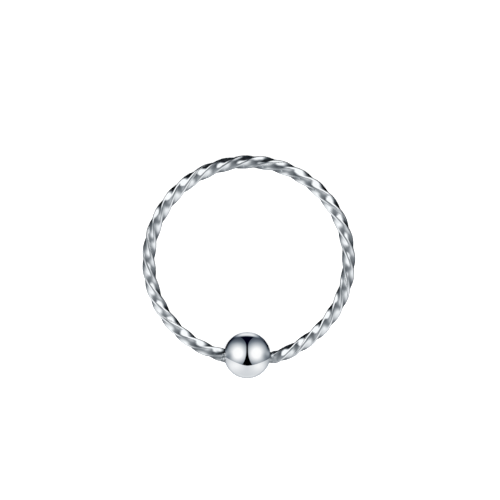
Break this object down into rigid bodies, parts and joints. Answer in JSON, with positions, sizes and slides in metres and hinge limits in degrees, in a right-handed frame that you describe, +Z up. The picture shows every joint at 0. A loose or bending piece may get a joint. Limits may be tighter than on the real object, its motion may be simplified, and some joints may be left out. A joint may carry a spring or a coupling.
{
  "type": "twisted cartilage hoop",
  "caption": "Small closed hoop of twisted square wire in polished silver, with a ball soldered to the wire and a socket in the ball for its free end.",
  "frame": {"origin": "middle of the hoop's box, on the surface that it lies on", "axes": "+Z up, +Y from the ball across the hoop, +X to the right as seen from above with the ball nearest"},
  "size_m": [0.0114, 0.012, 0.0025],
  "materials": {
    "polished_silver": "mirror-polished sterling silver, with fine drawing lines along the wire"
  },
  "bodies": {
    "root": {"hoop": "polished_silver"}
  },
  "joints": []
}
